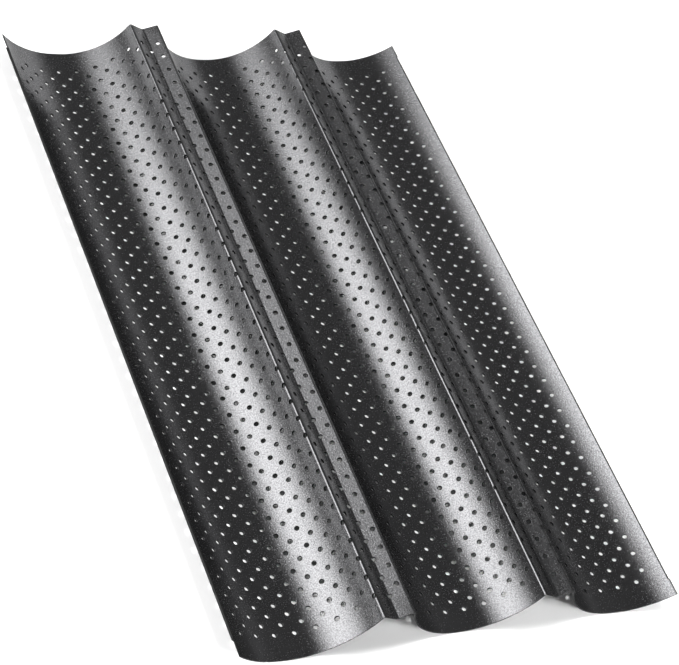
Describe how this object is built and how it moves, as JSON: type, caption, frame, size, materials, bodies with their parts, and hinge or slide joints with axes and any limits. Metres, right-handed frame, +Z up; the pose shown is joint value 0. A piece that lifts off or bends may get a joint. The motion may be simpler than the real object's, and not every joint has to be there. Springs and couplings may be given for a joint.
{
  "type": "baguette tray",
  "caption": "Perforated non-stick steel tray pressed into side-by-side rounded troughs, with hemmed long edges, for proofing and baking baguettes.",
  "frame": {"origin": "centre of the tray in plan, on the surface its troughs rest on", "axes": "+Y along the troughs, +X across them to the right, +Z up out of the troughs"},
  "size_m": [0.2422, 0.3802, 0.025],
  "materials": {
    "coated_sheet": "satin dark grey metallic non-stick coating with a fine grain"
  },
  "bodies": {
    "root": {"centre_trough": "coated_sheet", "left_divider": "coated_sheet", "right_divider": "coated_sheet", "left_trough": "coated_sheet", "right_trough": "coated_sheet", "left_hem": "coated_sheet", "right_hem": "coated_sheet"}
  },
  "joints": []
}
